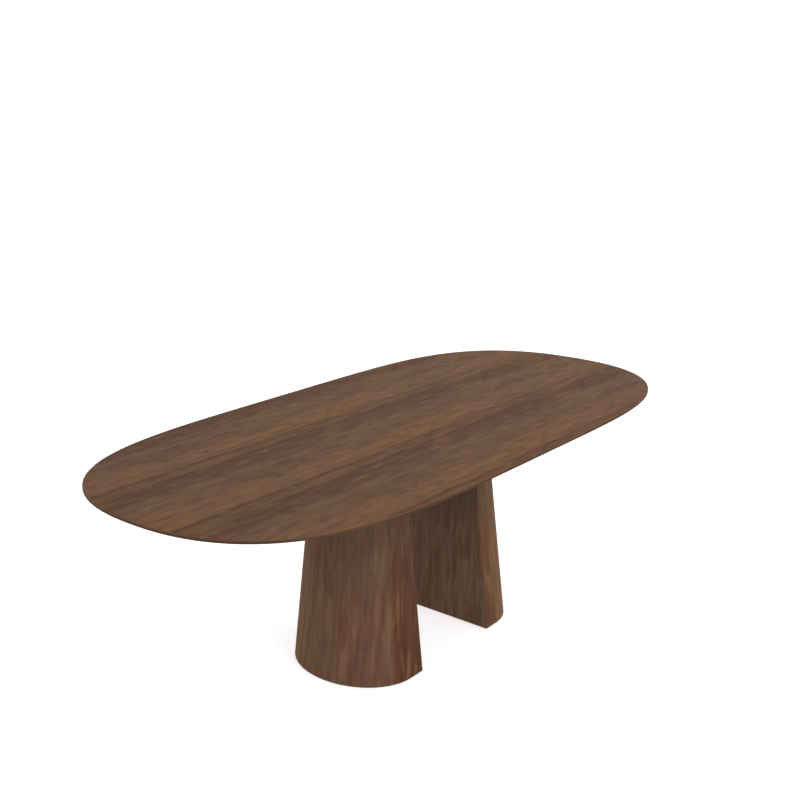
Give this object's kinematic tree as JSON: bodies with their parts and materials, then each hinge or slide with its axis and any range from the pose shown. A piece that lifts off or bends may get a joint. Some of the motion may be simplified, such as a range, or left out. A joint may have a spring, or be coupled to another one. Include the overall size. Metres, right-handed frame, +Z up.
{
  "type": "dining table",
  "caption": "Dining table with a rounded oval wooden top, bevelled underneath, on tapered half-round legs with flat inner faces, standing on levelling feet.",
  "frame": {"origin": "on the floor, below the middle of the top", "axes": "+X along the length of the top, +Y across it to the back, +Z upwards"},
  "size_m": [2.2, 1.045, 0.75],
  "materials": {
    "walnut_face": "satin lacquered walnut veneer",
    "walnut_edge": "satin lacquered solid walnut",
    "walnut_underside": "matt sealed walnut veneer",
    "walnut_leg": "satin lacquered walnut veneer on bent plywood",
    "core_board": "raw medium density board",
    "plywood": "raw birch plywood",
    "softwood": "planed softwood",
    "black_steel": "matt black powder coat",
    "zinc_steel": "zinc plated",
    "insert_brass": "turned brass",
    "foot_plastic": "moulded nylon"
  },
  "bodies": {
    "table": {"face_veneer_front": "walnut_face", "face_veneer_middle": "walnut_face", "face_veneer_back": "walnut_face", "top_core": "core_board", "underside_veneer": "walnut_underside", "lipping_side_front_left": "walnut_edge", "lipping_side_front_right": "walnut_edge", "lipping_side_back_left": "walnut_edge", "lipping_side_back_right": "walnut_edge", "lipping_end_front_left": "walnut_edge", "lipping_end_front_right": "walnut_edge", "lipping_end_back_left": "walnut_edge", "lipping_end_back_right": "walnut_edge", "lipping_tongues": "plywood", "left_leg_shell": "walnut_leg", "left_leg_face_panel": "walnut_leg", "left_base_former": "plywood", "left_middle_former": "plywood", "left_top_former": "plywood", "left_corner_blocks": "softwood", "left_mount_plate": "black_steel", "left_plate_screws": "zinc_steel", "left_top_bolts": "zinc_steel", "left_top_inserts": "insert_brass", "left_foot_sleeves": "zinc_steel", "right_leg_shell": "walnut_leg", "right_leg_face_panel": "walnut_leg", "right_base_former": "plywood", "right_middle_former": "plywood", "right_top_former": "plywood", "right_corner_blocks": "softwood", "right_mount_plate": "black_steel", "right_plate_screws": "zinc_steel", "right_top_bolts": "zinc_steel", "right_top_inserts": "insert_brass", "right_foot_sleeves": "zinc_steel"},
    "left_foot_inner_front": {"left_foot_inner_front_stem": "zinc_steel", "left_foot_inner_front_pad": "foot_plastic"},
    "left_foot_inner_back": {"left_foot_inner_back_stem": "zinc_steel", "left_foot_inner_back_pad": "foot_plastic"},
    "left_foot_outer_front": {"left_foot_outer_front_stem": "zinc_steel", "left_foot_outer_front_pad": "foot_plastic"},
    "left_foot_outer_back": {"left_foot_outer_back_stem": "zinc_steel", "left_foot_outer_back_pad": "foot_plastic"},
    "right_foot_inner_front": {"right_foot_inner_front_stem": "zinc_steel", "right_foot_inner_front_pad": "foot_plastic"},
    "right_foot_inner_back": {"right_foot_inner_back_stem": "zinc_steel", "right_foot_inner_back_pad": "foot_plastic"},
    "right_foot_outer_front": {"right_foot_outer_front_stem": "zinc_steel", "right_foot_outer_front_pad": "foot_plastic"},
    "right_foot_outer_back": {"right_foot_outer_back_stem": "zinc_steel", "right_foot_outer_back_pad": "foot_plastic"}
  },
  "joints": [
    {"name": "left_foot_inner_front_screw", "type": "slide", "parent": "table", "child": "left_foot_inner_front", "axis": [0, 0, -1], "range_m": [-0.002, 0.01]},
    {"name": "left_foot_inner_back_screw", "type": "slide", "parent": "table", "child": "left_foot_inner_back", "axis": [0, 0, -1], "range_m": [-0.002, 0.01]},
    {"name": "left_foot_outer_front_screw", "type": "slide", "parent": "table", "child": "left_foot_outer_front", "axis": [0, 0, -1], "range_m": [-0.002, 0.01]},
    {"name": "left_foot_outer_back_screw", "type": "slide", "parent": "table", "child": "left_foot_outer_back", "axis": [0, 0, -1], "range_m": [-0.002, 0.01]},
    {"name": "right_foot_inner_front_screw", "type": "slide", "parent": "table", "child": "right_foot_inner_front", "axis": [0, 0, -1], "range_m": [-0.002, 0.01]},
    {"name": "right_foot_inner_back_screw", "type": "slide", "parent": "table", "child": "right_foot_inner_back", "axis": [0, 0, -1], "range_m": [-0.002, 0.01]},
    {"name": "right_foot_outer_front_screw", "type": "slide", "parent": "table", "child": "right_foot_outer_front", "axis": [0, 0, -1], "range_m": [-0.002, 0.01]},
    {"name": "right_foot_outer_back_screw", "type": "slide", "parent": "table", "child": "right_foot_outer_back", "axis": [0, 0, -1], "range_m": [-0.002, 0.01]}
  ]
}
